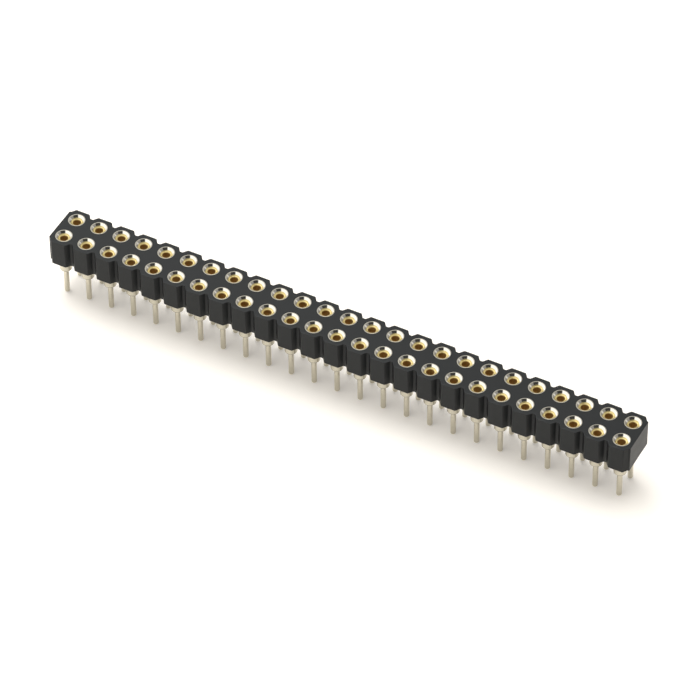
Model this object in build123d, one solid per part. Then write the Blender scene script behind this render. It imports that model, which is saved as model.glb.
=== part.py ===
from build123d import *
import math
import os

# Machined pin socket strip: two rows of turned sleeves in one moulded insulator.
# Millimetres, +Z up. The origin is the centre of the plane that the tail tips stand on,
# X runs along the rows and Y across them, with the front row on the minus Y side.

# Grid of contacts
pitch = 2.54
contacts_per_row = 25
row_spacing = 2.54

# Insulator: a bar with tapered notches between the positions on both long sides
insulator_height = 3.0
row_to_side = 1.27
notch_opening = 1.02
notch_floor = 0.30
notch_depth = 0.50

# Sleeve, turned in one piece: from the bore outwards, then downwards
bore_diameter = 1.15
body_wall = 0.075
barb_height = 0.09
head_overhang = 0.12
head_thickness = 0.60
rim_land = 0.08
funnel_angle = 90.0
barb_drop = 0.40
barb_length = 0.50
barb_taper = 0.12
standoff = 1.40
shoulder_chamfer = 0.10
drill_angle = 118.0
bore_floor = 0.50
tail_diameter = 0.54
tail_length = 3.10
tail_tip = 0.09

# How the sleeve fits in the insulator
head_clearance = 0.015

# Contact clip, stamped and rolled: a flared ring pressed into the bore, with fingers that converge
clip_wall = 0.155
flare_land = 0.02
flare_depth = 0.14
ring_length = 0.70
finger_length = 1.50
finger_wall = 0.08
finger_tip_opening = 0.42
finger_count = 4
finger_slot = 0.12
slot_into_ring = 0.20

# Radii that follow from the values above
bore_radius = bore_diameter / 2
body_radius = bore_radius + body_wall
barb_radius = body_radius + barb_height
head_radius = barb_radius + head_overhang
funnel_radius = head_radius - rim_land
tail_radius = tail_diameter / 2
ring_inner_radius = bore_radius - clip_wall
tip_inner_radius = finger_tip_opening / 2

# Heights above the plane of the tail tips
shoulder_z = tail_length
insulator_bottom = shoulder_z + standoff
top = insulator_bottom + insulator_height
head_seat = top - head_thickness
barb_top = head_seat - barb_drop
barb_bottom = barb_top - barb_length
bore_top = top - (funnel_radius - bore_radius) / math.tan(math.radians(funnel_angle / 2))
drill_point = bore_radius / math.tan(math.radians(drill_angle / 2))
bore_bottom = shoulder_z + bore_floor + drill_point
flare_bottom = bore_top - flare_depth
ring_bottom = flare_bottom - ring_length
finger_bottom = ring_bottom - finger_length

# Plan of the strip
length = contacts_per_row * pitch
half_width = row_spacing / 2 + row_to_side
column_x = [(i - (contacts_per_row - 1) / 2) * pitch for i in range(contacts_per_row)]
row_y = {"front": -row_spacing / 2, "back": row_spacing / 2}


def revolved(points):
    """A turned solid from its half outline, given as (radius, height) points."""
    return revolve(make_face(Plane.XZ * Polyline(*points, close=True)), Axis.Z)


def notch(x, side):
    """A tapered notch in one long side, centred at x, open over the full height."""
    outside = side * (half_width + notch_depth)
    lip = side * half_width
    floor = side * (half_width - notch_depth)
    plan = Polyline(
        (x - notch_opening / 2, outside),
        (x - notch_opening / 2, lip),
        (x - notch_floor / 2, floor),
        (x + notch_floor / 2, floor),
        (x + notch_opening / 2, lip),
        (x + notch_opening / 2, outside),
        close=True,
    )
    return extrude(Plane.XY.offset(insulator_bottom) * make_face(plan), insulator_height)


def sleeve_seat():
    """The stepped hole for one sleeve, whose barb grips the straight part under the head."""
    return revolved([
        (0, top),
        (head_radius + head_clearance, top),
        (head_radius + head_clearance, head_seat),
        (barb_radius, head_seat),
        (barb_radius, insulator_bottom),
        (0, insulator_bottom),
    ])


def make_insulator():
    """The moulded bar, cut at the middle of a notch at each end, with a seat for each sleeve."""
    bar = Pos(0, 0, insulator_bottom) * Box(
        length, 2 * half_width, insulator_height,
        align=(Align.CENTER, Align.CENTER, Align.MIN),
    )
    cuts = [
        notch((i - contacts_per_row / 2) * pitch, side)
        for i in range(contacts_per_row + 1)
        for side in (-1, 1)
    ]
    seat = sleeve_seat()
    cuts += [Pos(x, y, 0) * seat for y in row_y.values() for x in column_x]
    return bar - cuts


def make_sleeve():
    """One turned sleeve: head with a funnel that leads to the bore, barb, body and tail."""
    return revolved([
        (funnel_radius, top),
        (head_radius, top),
        (head_radius, head_seat),
        (body_radius, head_seat),
        (body_radius, barb_top),
        (barb_radius, barb_top),
        (barb_radius, barb_bottom),
        (body_radius, barb_bottom - barb_taper),
        (body_radius, shoulder_z + shoulder_chamfer),
        (body_radius - shoulder_chamfer, shoulder_z),
        (tail_radius, shoulder_z),
        (tail_radius, tail_tip),
        (tail_radius - tail_tip, 0),
        (0, 0),
        (0, bore_bottom - drill_point),
        (bore_radius, bore_bottom),
        (bore_radius, bore_top),
    ])


def make_clip():
    """One spring clip: a ring whose mouth goes on from the funnel, and fingers for the pin."""
    shell = revolved([
        (ring_inner_radius, flare_bottom),
        (bore_radius - flare_land, bore_top),
        (bore_radius, bore_top),
        (bore_radius, ring_bottom),
        (tip_inner_radius + finger_wall, finger_bottom),
        (tip_inner_radius, finger_bottom),
        (ring_inner_radius, ring_bottom),
    ])
    slot_height = finger_length + slot_into_ring
    slot = Pos(0, 0, finger_bottom) * Box(
        bore_diameter, finger_slot, slot_height,
        align=(Align.MIN, Align.CENTER, Align.MIN),
    )
    turns = [360 / finger_count * i for i in range(finger_count)]
    return shell - [Rot(0, 0, turn + turns[1] / 2) * slot for turn in turns]


os.makedirs("parts", exist_ok=True)

export_step(make_insulator(), "parts/insulator.step")

sleeve = make_sleeve()
clip = make_clip()
for row, y in row_y.items():
    for number, x in enumerate(column_x, start=1):
        export_step(Pos(x, y, 0) * sleeve, f"parts/{row}_sleeve_{number:02d}.step")
    clips = Compound([Pos(x, y, 0) * clip for x in column_x])
    export_step(clips, f"parts/{row}_contact_clips.step")
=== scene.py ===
# %% [markdown]
# # A machined pin socket strip
#
# The object is a connector: two rows of turned metal sleeves, pressed into one moulded black
# bar. Each sleeve has a polished funnel at the top, a collar under the bar and a round tail
# that goes through a circuit board. A gold-plated spring clip sits inside each sleeve.
#
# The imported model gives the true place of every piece, so we load it first and measure it.
# All that we build here is finer than those solids, and stands exactly where they stand.

# %% The frame and its measures
import math

import bmesh
import bpy
from mathutils import Matrix, Vector


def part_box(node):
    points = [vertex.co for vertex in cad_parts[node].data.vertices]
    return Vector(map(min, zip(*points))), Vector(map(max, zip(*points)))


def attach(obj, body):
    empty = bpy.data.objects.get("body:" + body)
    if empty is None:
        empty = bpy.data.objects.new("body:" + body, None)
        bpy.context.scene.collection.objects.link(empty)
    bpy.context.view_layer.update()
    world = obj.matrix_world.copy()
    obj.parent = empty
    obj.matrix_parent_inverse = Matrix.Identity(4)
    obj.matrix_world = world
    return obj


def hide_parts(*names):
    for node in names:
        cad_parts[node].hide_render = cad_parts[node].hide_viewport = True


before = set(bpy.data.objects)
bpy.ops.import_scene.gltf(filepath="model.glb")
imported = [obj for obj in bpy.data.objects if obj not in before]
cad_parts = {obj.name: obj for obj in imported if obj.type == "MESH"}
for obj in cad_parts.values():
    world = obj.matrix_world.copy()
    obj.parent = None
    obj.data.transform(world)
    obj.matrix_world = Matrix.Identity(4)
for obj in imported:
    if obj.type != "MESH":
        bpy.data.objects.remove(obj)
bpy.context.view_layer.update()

METRES_PER_MM = 0.001
body = "root"
scene = bpy.context.scene


def mm_box(node):
    """The lowest and highest corners of a CAD node, in millimetres."""
    low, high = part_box(node)
    return low / METRES_PER_MM, high / METRES_PER_MM


bar_low, bar_high = mm_box("insulator")
sleeve_nodes = sorted(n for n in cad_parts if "_sleeve_" in n)
sleeve_middles = {n: sum(mm_box(n), Vector()) / 2 for n in sleeve_nodes}
front_row = sorted(c.x for n, c in sleeve_middles.items() if n.startswith("front"))
columns = len(front_row)
pitch = (front_row[-1] - front_row[0]) / (columns - 1)
row_offset = sleeve_middles["back_sleeve_01"].y
print(f"{columns} columns at {pitch:.3f} mm, rows {2 * row_offset:.3f} mm apart")
print(f"bar from {bar_low.z:.2f} to {bar_high.z:.2f} mm above the tail tips")

# %% [markdown]
# ## Working in millimetres
#
# Blender measures in metres, and a strip with features of a few hundredths of a millimetre is
# awkward to model at that scale: bevels and merges have small fixed tolerances of their own.
# So each mesh is built in millimetres and shrunk once, at the very end. One helper merges
# doubled corners and turns the faces outwards. Another shrinks the mesh, makes the object,
# attaches it to the body and hides the solids it stands for.

# %% Helpers that finish a piece
MERGE = 0.0005
CREASE = math.radians(38)


def wire_loop(bm, points):
    """A closed loop of edges through (x, y, z) points."""
    verts = [bm.verts.new(p) for p in points]
    return [bm.edges.new((a, b)) for a, b in zip(verts, verts[1:] + verts[:1])]


def wire_line(bm, points):
    """An open line of edges through (radius, height) points, in the plane y = 0."""
    verts = [bm.verts.new((r, 0, z)) for r, z in points]
    return verts, [bm.edges.new((a, b)) for a, b in zip(verts, verts[1:])]


def close_up(bm):
    """Merge doubled corners and turn every face outwards."""
    bmesh.ops.remove_doubles(bm, verts=bm.verts, dist=MERGE)
    bmesh.ops.recalc_face_normals(bm, faces=bm.faces)


def count_open(bm):
    """How many edges don't join exactly two faces: none, on a closed mesh."""
    return sum(1 for e in bm.edges if not e.is_manifold)


def make_piece(bm, name, material, slot, *nodes):
    """A finished object, in metres, that stands for CAD nodes and rides on the body."""
    bmesh.ops.scale(bm, vec=(METRES_PER_MM,) * 3, verts=bm.verts)
    for face in bm.faces:
        face.smooth = True
    mesh = bpy.data.meshes.new(name)
    bm.to_mesh(mesh)
    bm.free()
    mesh.set_sharp_from_angle(angle=CREASE)
    mesh.materials.append(material)
    piece = bpy.data.objects.new(name, mesh)
    scene.collection.objects.link(piece)
    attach(piece, body)
    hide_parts(*nodes)
    return piece


print(f"corners closer than {MERGE} mm merge, edges over {math.degrees(CREASE):.0f} degrees stay sharp")

# %% [markdown]
# ## Helpers for materials
#
# A material is a small network of nodes. The first helpers make a material, add a node with its
# settings, and give the object's own coordinates, which stay with the piece wherever it goes.
# The others each add one step that many materials need: a noise with features of a real size,
# a range of values, a range of colours, and a bump of a real depth.

# %% Helpers that build node networks
def new_material(name, **inputs):
    """A material with its node tree and its main shader, whose plain values are set."""
    material = bpy.data.materials.new(name)
    material.use_nodes = True
    shader = material.node_tree.nodes["Principled BSDF"]
    for key, value in inputs.items():
        shader.inputs[key.replace("_", " ")].default_value = value
    return material, material.node_tree, shader


def add_node(tree, kind, links=None, **settings):
    """A node of a kind, with its settings, and with links from other sockets to its inputs."""
    node = tree.nodes.new(kind)
    for key, value in settings.items():
        setattr(node, key, value)
    for key, source in (links or {}).items():
        if isinstance(source, bpy.types.NodeSocket):
            tree.links.new(source, node.inputs[key])
        else:
            node.inputs[key].default_value = source
    return node


def object_position(tree):
    """The position on the piece, in metres, in the object's own frame."""
    return add_node(tree, "ShaderNodeTexCoord").outputs["Object"]


# %% Helpers that add a pattern or a range
def noise(tree, position, feature_mm, detail):
    """Soft irregular variation, between 0 and 1, with features of a given size."""
    scale = 1 / (feature_mm * METRES_PER_MM)
    return add_node(tree, "ShaderNodeTexNoise", {
        "Vector": position, "Scale": scale, "Detail": detail,
    }).outputs["Fac"]


# A Mix node has several sockets of one name, so they are told apart by number
MIX_FACTOR = 0
MIX_FIRST_VALUE = 2
MIX_SECOND_VALUE = 3
MIX_FIRST_COLOUR = 6
MIX_SECOND_COLOUR = 7
MIX_VALUE_OUT = 0
MIX_COLOUR_OUT = 2


def between(tree, factor, low, high):
    """A value that goes from low to high as the factor goes from 0 to 1."""
    return add_node(tree, "ShaderNodeMapRange", {
        "Value": factor, "To Min": low, "To Max": high,
    }).outputs["Result"]


def two_colours(tree, factor, first, second):
    """A colour that goes from the first to the second as the factor goes from 0 to 1."""
    return add_node(tree, "ShaderNodeMix", {
        MIX_FACTOR: factor, MIX_FIRST_COLOUR: first, MIX_SECOND_COLOUR: second,
    }, data_type="RGBA").outputs[MIX_COLOUR_OUT]


def bump(tree, height, depth_mm):
    """A surface normal raised by a height between 0 and 1 of a given depth."""
    return add_node(tree, "ShaderNodeBump", {
        "Height": height, "Distance": depth_mm * METRES_PER_MM,
    }).outputs["Normal"]


# %% [markdown]
# ## Black moulded plastic
#
# The bar is a glass-filled thermoplastic, moulded against a finely eroded steel tool. It looks
# nearly black, slightly cool, with a soft sheen rather than a gloss. Three noises do the work:
# a broad one tints the colour where the resin flowed, a middle one varies the sheen, and a very
# fine one gives the surface the grain of the tool.

# %% The plastic
resin_dark = (0.0060, 0.0069, 0.0075, 1)
resin_light = (0.0085, 0.0096, 0.0103, 1)
resin_reflection = 0.225
resin_tint = (0.95, 0.985, 1.0, 1)
grain_depth_mm = 0.0016


def make_plastic():
    """Black resin with a broad tint, a patchy sheen and a fine grain."""
    material, tree, shader = new_material(
        "black_moulded_plastic", IOR=1.5, Specular_IOR_Level=resin_reflection,
        Specular_Tint=resin_tint)
    position = object_position(tree)
    flow = noise(tree, position, feature_mm=6.0, detail=4.0)
    grain = noise(tree, position, feature_mm=0.035, detail=2.0)
    sheen = noise(tree, position, feature_mm=0.9, detail=3.0)
    colour = two_colours(tree, flow, resin_dark, resin_light)
    roughness = between(tree, sheen, low=0.34, high=0.46)
    tree.links.new(colour, shader.inputs["Base Color"])
    tree.links.new(roughness, shader.inputs["Roughness"])
    tree.links.new(bump(tree, grain, grain_depth_mm), shader.inputs["Normal"])
    return material


plastic = make_plastic()
print("material:", plastic.name)

# %% [markdown]
# ## Tin-plated turned brass
#
# The sleeves are turned on a lathe and then plated. Turning leaves very fine rings around each
# axis, and the plating is satin on the outside and almost a mirror in the funnel. All fifty
# sleeves share their materials, so the rings have to find the nearest axis by themselves: the
# position is wrapped by the pitch, which gives the offset from the axis of whichever sleeve a
# point belongs to. Its distance from that axis, plus its height, drives a noise of one
# dimension, and rings appear on flat, conical and cylindrical faces alike.

# %% Turning marks
FAR = 10


def ring_coordinate(tree, position):
    """Distance from the nearest sleeve axis plus height, in metres."""
    half = pitch / 2 * METRES_PER_MM
    # X and Y repeat with the pitch, and the limits of Z are too far off to change a height
    wrapped = add_node(tree, "ShaderNodeVectorMath", {
        0: position, 1: (half, 2 * half, FAR), 2: (-half, 0, -FAR),
    }, operation="WRAP").outputs["Vector"]
    centred = add_node(tree, "ShaderNodeVectorMath", {
        0: wrapped, 1: (0, half, 0),
    }, operation="SUBTRACT").outputs["Vector"]
    axes = add_node(tree, "ShaderNodeSeparateXYZ", {"Vector": centred})
    flat = add_node(tree, "ShaderNodeCombineXYZ", {"X": axes.outputs["X"], "Y": axes.outputs["Y"]})
    radius = add_node(tree, "ShaderNodeVectorMath", {0: flat.outputs["Vector"]}, operation="LENGTH")
    return add_node(tree, "ShaderNodeMath", {
        0: radius.outputs["Value"], 1: axes.outputs["Z"],
    }, operation="ADD").outputs["Value"]


def rings(tree, position, spacing_mm):
    """Turning marks: a noise that changes only across the rings."""
    return add_node(tree, "ShaderNodeTexNoise", {
        "W": ring_coordinate(tree, position),
        "Scale": 1 / (spacing_mm * METRES_PER_MM), "Detail": 2.0,
    }, noise_dimensions="1D").outputs["Fac"]


# %% The plated metals
def make_metal(name, light, dark, smooth, dull, ring_spacing, ring_depth):
    """A plated metal with a little stain, a varying sheen and turning marks sized in mm."""
    material, tree, shader = new_material(name, Metallic=1.0)
    position = object_position(tree)
    stain = noise(tree, position, feature_mm=0.5, detail=4.0)
    cloud = noise(tree, position, feature_mm=0.12, detail=2.0)
    tree.links.new(two_colours(tree, stain, dark, light), shader.inputs["Base Color"])
    tree.links.new(between(tree, cloud, smooth, dull), shader.inputs["Roughness"])
    marks = rings(tree, position, ring_spacing)
    tree.links.new(bump(tree, marks, ring_depth), shader.inputs["Normal"])
    return material


tin = make_metal("tin_plate", light=(0.66, 0.62, 0.52, 1), dark=(0.55, 0.52, 0.42, 1),
                 smooth=0.15, dull=0.27, ring_spacing=0.03, ring_depth=0.0004)
# Painted shade: a darker, duller tin for the rim and the collar's rounded lower edge
dull_tin_with_painted_shade = make_metal("rim_and_collar_edge_painted_shade", light=(0.37, 0.355, 0.30, 1), dark=(0.30, 0.285, 0.24, 1),
                     smooth=0.30, dull=0.42, ring_spacing=0.02, ring_depth=0.0006)
funnel_tin = make_metal("bright_tin_funnel", light=(0.92, 0.905, 0.85, 1),
                        dark=(0.85, 0.83, 0.76, 1), smooth=0.06, dull=0.12,
                        ring_spacing=0.05, ring_depth=0.00012)
gold = make_metal("gold_plate", light=(0.74, 0.64, 0.32, 1), dark=(0.62, 0.52, 0.24, 1),
                  smooth=0.38, dull=0.50, ring_spacing=0.04, ring_depth=0.0003)
print("metals:", tin.name, dull_tin_with_painted_shade.name, funnel_tin.name, gold.name)

# %% The dull gold inside a clip, with painted shade in the hole
lip_gold = (0.80, 0.64, 0.30, 1)
# Painted shade: the brown that darkens the hole below the lip
painted_shade_brown = (0.29, 0.165, 0.05, 1)
deep_gold = (0.66, 0.45, 0.18, 1)
lip_depths_mm = (0.36, 0.50)
painted_shade_depths_mm = (0.45, 1.25)
stain_shift = 0.12


def make_inner_gold_with_painted_shade():
    """Thin, dull plating that is bright at the lip, with a painted brown shade lower in the hole."""
    material, tree, shader = new_material("inner_gold_with_painted_shade", Metallic=0.35, Roughness=0.55)
    position = object_position(tree)
    stain = noise(tree, position, feature_mm=0.2, detail=3.0)
    height = add_node(tree, "ShaderNodeSeparateXYZ", {"Vector": position}).outputs["Z"]

    def deeper(start_mm, end_mm):
        """A factor that goes from 0 to 1 between two depths under the top of the bar."""
        return add_node(tree, "ShaderNodeMapRange", {
            "Value": height, "From Min": (bar_high.z - start_mm) * METRES_PER_MM,
            "From Max": (bar_high.z - end_mm) * METRES_PER_MM,
        }).outputs["Result"]

    shade = add_node(tree, "ShaderNodeMath", {
        0: deeper(*painted_shade_depths_mm), 1: between(tree, stain, -stain_shift, stain_shift),
    }, operation="ADD").outputs["Value"]
    hole = two_colours(tree, shade, painted_shade_brown, deep_gold)
    whole = two_colours(tree, deeper(*lip_depths_mm), lip_gold, hole)
    tree.links.new(whole, shader.inputs["Base Color"])
    return material


inner_gold = make_inner_gold_with_painted_shade()
print("inner metal:", inner_gold.name)

# %% [markdown]
# ## One turned sleeve, then fifty
#
# A turned part is a half outline swept once round its axis, which is what Blender's spin does.
# The outline starts at the middle of the tail tip, climbs the outside to the rim, and goes down
# through the funnel and the bore to the drilled floor. Where the real part has a rounded edge
# the outline has a short arc, made by a formula, so the roundness is real geometry. Two
# finishes differ from the satin plating: the funnel is brighter, and the rim and the rounded
# lower edge of the collar are duller and darker, where the darker colour is painted shade.
# Their faces are picked out by where they lie, after the spin.

# %% The sleeve's own sizes, in millimetres
top = bar_high.z
head_radius = 0.86
head_thickness = 0.60
rim_land = 0.08
rim_round = 0.015
bore_radius = 0.575
body_radius = 0.65
barb_radius = 0.74
barb_top_depth = 1.00
barb_bottom_depth = 1.50
barb_taper = 0.12
shoulder = 3.10
shoulder_round = 0.14
tail_radius = 0.27
tip_round = 0.12
bore_floor = 3.94
drill_point = 0.34
barb_top = top - barb_top_depth
barb_bottom = top - barb_bottom_depth
funnel_radius = head_radius - rim_land
funnel_bottom = top - (funnel_radius - bore_radius)
print(f"funnel {2 * funnel_radius:.2f} mm across, {top - funnel_bottom:.3f} mm deep")


# %% The sleeve's outline
def arc(centre_r, centre_z, radius, start, end, steps):
    """Points (radius, height) along a circular arc between two angles in degrees."""
    angles = [math.radians(start + (end - start) * i / steps) for i in range(steps + 1)]
    return [(centre_r + radius * math.cos(a), centre_z + radius * math.sin(a)) for a in angles]


def sleeve_outline():
    """The half outline of a sleeve, from the middle of its tip round to its drilled floor."""
    return [
        (0, 0),
        *arc(tail_radius - tip_round, tip_round, tip_round, -90, 0, steps=5),
        (tail_radius, shoulder),
        *arc(body_radius - shoulder_round, shoulder + shoulder_round, shoulder_round,
             -90, 0, steps=5),
        (body_radius, barb_bottom - barb_taper),
        (barb_radius, barb_bottom),
        (barb_radius, barb_top),
        (body_radius, barb_top),
        (body_radius, top - head_thickness),
        (head_radius, top - head_thickness),
        *arc(head_radius - rim_round, top - rim_round, rim_round, 0, 90, steps=3),
        *arc(funnel_radius + rim_round / 2, top - rim_round, rim_round, 90, 135, steps=2),
        (bore_radius, funnel_bottom),
        (bore_radius, bore_floor),
        (0, bore_floor - drill_point),
    ]


print("sleeve outline:", len(sleeve_outline()), "points")

# %% One sleeve, then fifty
SPIN_STEPS = 56
FUNNEL_SLOT = 1
# This slot holds the darker tin, whose darker colour is painted shade
PAINTED_SHADE_SLOT = 2


def make_sleeve_mesh():
    """A bmesh of one sleeve on the Z axis, in millimetres, with its finishes marked."""
    bm = bmesh.new()
    verts, edges = wire_line(bm, sleeve_outline())
    bmesh.ops.spin(bm, geom=verts + edges, cent=(0, 0, 0), axis=(0, 0, 1), dvec=(0, 0, 0),
                   angle=2 * math.pi, steps=SPIN_STEPS, use_merge=True)
    close_up(bm)
    for face in bm.faces:
        middle = face.calc_center_median()
        radius = middle.xy.length
        # The rim and the collar's lower edge take the darker tin, which is painted shade
        on_rim = middle.z > top - rim_round
        on_collar_edge = radius > tail_radius + MERGE and middle.z < shoulder + shoulder_round
        if on_rim or on_collar_edge:
            face.material_index = PAINTED_SHADE_SLOT
        elif radius < funnel_radius - MERGE and middle.z > funnel_bottom:
            face.material_index = FUNNEL_SLOT
    return bm


sleeve_master = make_sleeve_mesh()
print("one sleeve:", len(sleeve_master.faces), "faces,", count_open(sleeve_master), "open edges")
for node, middle in sleeve_middles.items():
    copy = sleeve_master.copy()
    bmesh.ops.translate(copy, verts=copy.verts, vec=(middle.x, middle.y, 0))
    piece = make_piece(copy, f"turned_{node}", tin, "sleeve", node)
    piece.data.materials.append(funnel_tin)
    piece.data.materials.append(dull_tin_with_painted_shade)
sleeve_master.free()
print("sleeves:", len(sleeve_middles))

# %% [markdown]
# ## The spring clips
#
# Each clip is stamped from thin sheet and rolled: a ring that grips the bore, with four fingers
# that lean in on the pin. Its mouth carries the funnel's cone on from the edge of the bore, as a
# gold band, then drops by a small step and rolls over into the dark hole. We spin the closed
# section into a ring, delete a narrow strip of facets between the fingers, and bridge the outer
# and inner edges of each gap, which gives the fingers their sides.

# %% The clip's own sizes, in millimetres
hole_radius = 0.42
mouth_round = 0.045
mouth_radius = 0.50
mouth_step = 0.03
ring_length = 0.735
slot_into_ring = 0.20
finger_length = 1.50
finger_wall = 0.08
finger_tip_radius = 0.21
finger_count = 4
mouth_low = funnel_bottom - (bore_radius - mouth_radius)
ring_top = mouth_low - mouth_step
ring_bottom = ring_top - ring_length
finger_bottom = ring_bottom - finger_length
print(f"clip from {finger_bottom:.3f} to {funnel_bottom:.3f} mm above the tail tips")


# %% The clip's section, and its measures
def edge_turn(edge):
    """The direction of an edge's middle about the axis, in degrees."""
    middle = (edge.verts[0].co + edge.verts[1].co) / 2
    return math.degrees(math.atan2(middle.y, middle.x))


def edge_slant(edge):
    """How much an edge climbs."""
    return abs(edge.verts[0].co.z - edge.verts[1].co.z)


def clip_outline():
    """The closed section of a clip as (radius, height) points, from its outer rim downwards."""
    return [
        (bore_radius, funnel_bottom),
        (bore_radius, ring_bottom + slot_into_ring),
        (bore_radius, ring_bottom),
        (finger_tip_radius + finger_wall, finger_bottom),
        (finger_tip_radius, finger_bottom),
        (hole_radius, ring_bottom),
        (hole_radius, ring_bottom + slot_into_ring),
        *arc(hole_radius + mouth_round, ring_top - mouth_round, mouth_round,
             180, 90, steps=6),
        (mouth_radius, ring_top),
        (mouth_radius, mouth_low),
    ]


print("clip section:", len(clip_outline()), "points")

# %% One clip
CLIP_STEPS = 48
INNER_SLOT = 1
# The rims of a slot lie within this many degrees of it
SLOT_WINDOW = 30
# The bright gold covers this share of the mouth's rounding, from its top down
BRIGHT_SHARE = 0.9


def in_slot(face):
    """True for a facet of the narrow gap between two fingers."""
    middle = face.calc_center_median()
    turn = math.degrees(math.atan2(middle.y, middle.x)) % (360 / finger_count)
    return middle.z < ring_bottom + slot_into_ring and turn < 360 / CLIP_STEPS


def make_clip_mesh():
    """A bmesh of one clip on the Z axis, in millimetres."""
    bm = bmesh.new()
    section = [(r, 0, z) for r, z in clip_outline()]
    loop = wire_loop(bm, section)
    bmesh.ops.spin(bm, geom=bm.verts[:] + loop, cent=(0, 0, 0), axis=(0, 0, 1), dvec=(0, 0, 0),
                   angle=2 * math.pi, steps=CLIP_STEPS, use_merge=True)
    close_up(bm)
    gaps = [f for f in bm.faces if in_slot(f)]
    bmesh.ops.delete(bm, geom=gaps, context="FACES")
    rims = [e for e in bm.edges if e.is_boundary]
    for number in range(finger_count):
        turn = 360 / finger_count * number
        here = [e for e in rims if abs((edge_turn(e) - turn + 180) % 360 - 180) < SLOT_WINDOW]
        # The short edges across the finger tips stay out: the two lines to bridge end there
        sides = [e for e in here if edge_slant(e) > MERGE or e.verts[0].co.z > ring_bottom]
        bmesh.ops.bridge_loops(bm, edges=sides)
    close_up(bm)
    for face in bm.faces:
        if face.calc_center_median().z < ring_top - BRIGHT_SHARE * mouth_round:
            face.material_index = INNER_SLOT
    return bm


clip_master = make_clip_mesh()
print("one clip:", len(clip_master.faces), "faces,", count_open(clip_master), "open edges")


# %% Two rows of clips
def add_copy(whole, master, middle):
    """Add a copy of a bmesh to another one, which takes it in by way of a mesh."""
    single = master.copy()
    bmesh.ops.translate(single, verts=single.verts, vec=(middle.x, middle.y, 0))
    passing = bpy.data.meshes.new("passing")
    single.to_mesh(passing)
    single.free()
    whole.from_mesh(passing)
    bpy.data.meshes.remove(passing)


for row in ("front", "back"):
    whole = bmesh.new()
    for node in sleeve_nodes:
        if node.startswith(row):
            add_copy(whole, clip_master, sleeve_middles[node])
    piece = make_piece(whole, f"gold_{row}_clips", gold, "clip", f"{row}_contact_clips")
    piece.data.materials.append(inner_gold)
    print(row, "clips:", len(piece.data.polygons), "faces")
clip_master.free()

# %% [markdown]
# ## The moulded bar
#
# The bar repeats with the pitch, so we build one cell: the ground around a single sleeve, from
# the centre line of the strip out to one long side, with half a notch at each end. Its top and
# bottom are flat plates with a round hole, filled between two loops of edges, and its hole is a
# stepped outline spun round the sleeve's axis. A spin that only shifts and doesn't turn repeats
# the cell along the row, a mirror makes the second row, and merging the seams leaves one shell.

# %% The bar's own sizes, in millimetres
side = bar_high.y
notch_opening = 1.02
notch_floor = 0.30
notch_depth = 0.50
seat_gap = 0.015
corner_round = 0.10
edge_round = 0.03
print(f"bar {2 * side:.2f} mm wide, notches {notch_depth:.2f} mm deep")


# %% One cell of the bar
def cell_outline(z):
    """The plan of one cell of the back row, at a height."""
    half = pitch / 2
    floor_y = side - notch_depth
    right = [
        (half, 0),
        (half, floor_y),
        (half - notch_floor / 2, floor_y),
        (half - notch_opening / 2, side),
    ]
    left = [(-x, y) for x, y in reversed(right)]
    return [(x, y, z) for x, y in right + left]


def spin_seat(bm):
    """The stepped hole that the sleeve is pressed into."""
    seat = top - head_thickness
    verts, edges = wire_line(bm, [
        (head_radius + seat_gap, bar_high.z),
        (head_radius + seat_gap, seat),
        (barb_radius, seat),
        (barb_radius, bar_low.z),
    ])
    bmesh.ops.translate(bm, verts=verts, vec=(0, row_offset, 0))
    bmesh.ops.spin(bm, geom=verts + edges, cent=(0, row_offset, 0), axis=(0, 0, 1),
                   dvec=(0, 0, 0), angle=2 * math.pi, steps=SPIN_STEPS, use_merge=True)
    bmesh.ops.remove_doubles(bm, verts=bm.verts, dist=MERGE)


def make_cell():
    """A bmesh of one cell: hole, top plate, bottom plate and the walls of its long side."""
    bm = bmesh.new()
    spin_seat(bm)
    rims = [e for e in bm.edges if e.is_boundary]
    for z in (bar_low.z, bar_high.z):
        outline = wire_loop(bm, cell_outline(z))
        rim = [e for e in rims if abs(e.verts[0].co.z - z) < MERGE]
        bmesh.ops.triangle_fill(bm, use_beauty=True, edges=outline + rim)
        if z == bar_high.z:
            inner = side - notch_depth - MERGE
            walls = [e for e in outline if min(v.co.y for v in e.verts) > inner]
            made = bmesh.ops.extrude_edge_only(bm, edges=walls)["geom"]
            lower = [v for v in made if isinstance(v, bmesh.types.BMVert)]
            bmesh.ops.translate(bm, verts=lower, vec=(0, 0, bar_low.z - bar_high.z))
    bmesh.ops.remove_doubles(bm, verts=bm.verts, dist=MERGE)
    return bm


# %% The whole bar
def make_bar():
    """The whole bar with sharp edges: cells repeated and mirrored, ends closed."""
    bm = make_cell()
    bmesh.ops.translate(bm, verts=bm.verts, vec=(front_row[0], 0, 0))
    bmesh.ops.spin(bm, geom=bm.verts[:] + bm.edges[:] + bm.faces[:], cent=(0, 0, 0),
                   axis=(0, 0, 1), dvec=(pitch, 0, 0), angle=0, steps=columns - 1,
                   use_duplicate=True)
    bmesh.ops.mirror(bm, geom=bm.verts[:] + bm.edges[:] + bm.faces[:],
                     matrix=Matrix.Identity(4), merge_dist=MERGE, axis="Y")
    bmesh.ops.remove_doubles(bm, verts=bm.verts, dist=MERGE)
    ends = [e for e in bm.edges if e.is_boundary]
    bmesh.ops.holes_fill(bm, edges=ends, sides=0)
    close_up(bm)
    return bm


bar = make_bar()
print("bar:", len(bar.faces), "faces,", count_open(bar), "open edges")

# %% Rounded edges of the bar
CORNER_TURN = math.radians(20)
RIM_TURN = math.radians(60)
SEAT_MARGIN = 0.01


def is_upright(edge):
    """True for an edge that runs up and down."""
    a, b = (v.co for v in edge.verts)
    return abs(a.z - b.z) > MERGE and (a.xy - b.xy).length < MERGE


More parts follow.
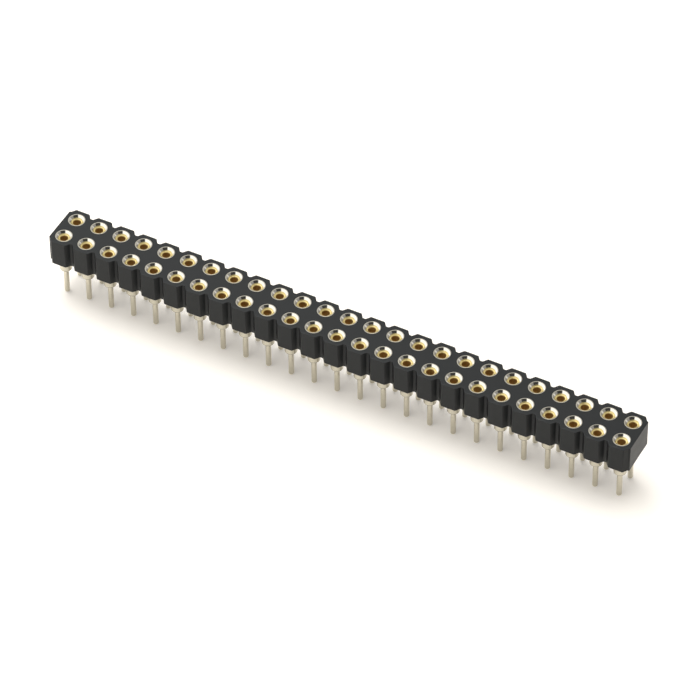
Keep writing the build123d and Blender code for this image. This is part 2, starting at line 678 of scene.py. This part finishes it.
def on_outside(edge):
    """True for an edge of the outer form, as against one of the sleeve seats."""
    reach = head_radius + seat_gap + SEAT_MARGIN
    for vert in edge.verts:
        column = round(vert.co.x / pitch) * pitch
        if math.hypot(vert.co.x - column, abs(vert.co.y) - row_offset) < reach:
            return False
    return True


def round_edges(bm, edges, size, segments):
    """Round off edges with the bevel operator."""
    bmesh.ops.bevel(bm, geom=edges, affect="EDGES", offset=size, offset_type="OFFSET",
                    segments=segments, profile=0.5, clamp_overlap=True, material=-1)


corners = [e for e in bar.edges if is_upright(e) and on_outside(e)
           and e.calc_face_angle(0) > CORNER_TURN]
print("upright corners:", len(corners))
round_edges(bar, corners, corner_round, segments=3)
rims = [e for e in bar.edges if not is_upright(e) and on_outside(e)
        and e.calc_face_angle(0) > RIM_TURN]
print("rims:", len(rims))
round_edges(bar, rims, edge_round, segments=2)
close_up(bar)
print("rounded:", len(bar.faces), "faces,", count_open(bar), "open edges")
bar_piece = make_piece(bar, "moulded_bar", plastic, "insulator", "insulator")
weighted = bar_piece.modifiers.new("flat faces stay flat", "WEIGHTED_NORMAL")
weighted.keep_sharp = True

# %% [markdown]
# ## The floor
#
# The strip stands on its tails on a white table, in a tent of white cloth. A floor that is a
# little darker than white keeps a visible shadow. The table is a lit sheet, so it also glows a
# little, which makes the shadow pale and lights the tails and collars from below.

# %% The floor
FLOOR_SIZE = 4.0
floor_colour = (0.87, 0.845, 0.80)
fibre_lift = 1.01
glow_colour = (1, 0.97, 0.93, 1)
floor_glow = 0.205


def make_floor():
    """A large flat table with faint fibres and a weak glow."""
    material, tree, shader = new_material("white_table", Roughness=0.7)
    position = object_position(tree)
    fibre = noise(tree, position, feature_mm=0.3, detail=3.0)
    paler = tuple(c * fibre_lift for c in floor_colour)
    colour = two_colours(tree, fibre, (*floor_colour, 1), (*paler, 1))
    tree.links.new(colour, shader.inputs["Base Color"])
    glow = add_node(tree, "ShaderNodeEmission", {"Color": glow_colour, "Strength": floor_glow})
    both = add_node(tree, "ShaderNodeAddShader", {
        0: shader.outputs["BSDF"], 1: glow.outputs["Emission"],
    })
    out = tree.nodes["Material Output"]
    tree.links.new(both.outputs["Shader"], out.inputs["Surface"])
    bm = bmesh.new()
    bmesh.ops.create_grid(bm, x_segments=1, y_segments=1, size=FLOOR_SIZE / 2)
    mesh = bpy.data.meshes.new("floor")
    bm.to_mesh(mesh)
    bm.free()
    mesh.materials.append(material)
    floor = bpy.data.objects.new("floor", mesh)
    scene.collection.objects.link(floor)


make_floor()
print("floor:", FLOOR_SIZE, "m")

# %% [markdown]
# ## The camera
#
# The photograph was taken with a long lens from the right of the front row, looking down by
# nearly half a right angle. The camera's place is worked out from those angles, its distance,
# and how far the middle of the strip's top lies from the middle of the picture.

# %% The camera
view_azimuth = math.radians(27.81)
view_elevation = math.radians(44.95)
view_roll = math.radians(-0.32)
view_distance_mm = 460.4
view_right_mm = 0.695
view_up_mm = -2.212
LENS_MM = 244.15
SENSOR_MM = 36.0
NEAR_LIMIT = 0.01


def make_camera():
    """The camera of the photograph, placed from its angles, distance and offset."""
    turn = (Matrix.Rotation(view_azimuth, 4, "Z")
            @ Matrix.Rotation(math.pi / 2 - view_elevation, 4, "X")
            @ Matrix.Rotation(view_roll, 4, "Z"))
    offset = turn @ Vector((view_right_mm, view_up_mm, view_distance_mm))
    place = (offset + Vector((0, 0, top))) * METRES_PER_MM
    data = bpy.data.cameras.new("camera")
    data.lens = LENS_MM
    data.sensor_width = SENSOR_MM
    data.clip_start = NEAR_LIMIT
    camera = bpy.data.objects.new("camera", data)
    camera.matrix_world = Matrix.Translation(place) @ turn
    scene.collection.objects.link(camera)
    scene.camera = camera
    return camera


camera = make_camera()
print("camera at", [round(c, 4) for c in camera.location])

# %% [markdown]
# ## The tent and its lamps
#
# In a tent the light comes from almost everywhere, a little stronger from above and behind the
# object, so its shadow falls softly towards the camera. Each funnel is a small conical mirror
# and shows the tent as a pattern of patches, the same in all fifty. So the world is a cloth
# that is brighter on one side, with four round pale patches, behind, at the right and high up,
# and a dark one near the camera, where the tent is open. Two large lamps do the rest. The
# camera itself sees plain white wherever the table ends.

# %% The patches of the tent
bright_side = 1.20
dim_side = 0.30
side_elevation = math.radians(15)
side_fade = 0.5
cloth_colour = (1.0, 0.965, 0.92, 1)
# Azimuth from the camera's own, elevation and half angle in degrees, softness of the edge as a
# difference in cosine, and level: behind, rear right, high right, a small one low at the right,
# and the dark one. A later patch lies over an earlier one.
patches = [
    (180, 45, 24, 0.06, 0.78),
    (148, 32, 20, 0.06, 0.90),
    (85, 77, 23, 0.03, 1.90),
    (107, 19, 11, 0.012, 0.75),
    (18, 42, 31, 0.03, 0.05),
]
print("patches in the tent:", len(patches))


# %% The world
def direction(azimuth, elevation):
    """A unit vector towards a place, with azimuth 0 along -Y and 90 along +X."""
    return Vector((math.sin(azimuth) * math.cos(elevation),
                   -math.cos(azimuth) * math.cos(elevation), math.sin(elevation)))


def two_values(tree, factor, first, second):
    """A value that goes from the first to the second as the factor goes from 0 to 1."""
    return add_node(tree, "ShaderNodeMix", {
        MIX_FACTOR: factor, MIX_FIRST_VALUE: first, MIX_SECOND_VALUE: second,
    }, data_type="FLOAT").outputs[MIX_VALUE_OUT]


def make_world():
    """Light from all round: a cloth with a bright side, and round patches over it."""
    world = bpy.data.worlds.new("tent")
    world.use_nodes = True
    tree = world.node_tree
    background = tree.nodes["Background"]
    towards = add_node(tree, "ShaderNodeTexCoord").outputs["Generated"]

    def facing(way):
        """The cosine of the angle between a ray and a direction."""
        return add_node(tree, "ShaderNodeVectorMath", {0: towards, 1: way},
                        operation="DOT_PRODUCT").outputs["Value"]

    left = facing(direction(view_azimuth - math.pi / 2, side_elevation))
    level = add_node(tree, "ShaderNodeMapRange", {
        "Value": left, "From Min": -side_fade, "From Max": side_fade,
        "To Min": dim_side, "To Max": bright_side,
    }, interpolation_type="SMOOTHSTEP").outputs["Result"]
    for azimuth, elevation, half_angle, softness, patch_level in patches:
        edge = math.cos(math.radians(half_angle))
        way = direction(view_azimuth + math.radians(azimuth), math.radians(elevation))
        inside = add_node(tree, "ShaderNodeMapRange", {
            "Value": facing(way), "From Min": edge - softness, "From Max": edge + softness,
        }).outputs["Result"]
        level = two_values(tree, inside, level, patch_level)
    camera_rays = add_node(tree, "ShaderNodeLightPath").outputs["Is Camera Ray"]
    shown = two_values(tree, camera_rays, level, 1.0)
    tree.links.new(shown, background.inputs["Strength"])
    background.inputs["Color"].default_value = cloth_colour
    scene.world = world


make_world()
print("world:", scene.world.name)


# %% The lamps
def make_lamp(name, azimuth, elevation, distance, size, radiance):
    """A square soft lamp of a given radiance that faces the object from a direction."""
    data = bpy.data.lights.new(name, "AREA")
    data.shape = "SQUARE"
    data.size = size
    data.energy = radiance * math.pi * size ** 2
    lamp = bpy.data.objects.new(name, data)
    away = direction(math.radians(azimuth), math.radians(elevation))
    lamp.location = away * distance
    lamp.rotation_euler = away.to_track_quat("Z", "Y").to_euler()
    scene.collection.objects.link(lamp)


make_lamp("back_left_panel", azimuth=245, elevation=50, distance=0.30, size=0.26, radiance=1.4)
make_lamp("overhead_panel", azimuth=230, elevation=78, distance=0.35, size=0.26, radiance=2.4)
scene.view_settings.view_transform = "Standard"
print("lamps:", len(bpy.data.lights))
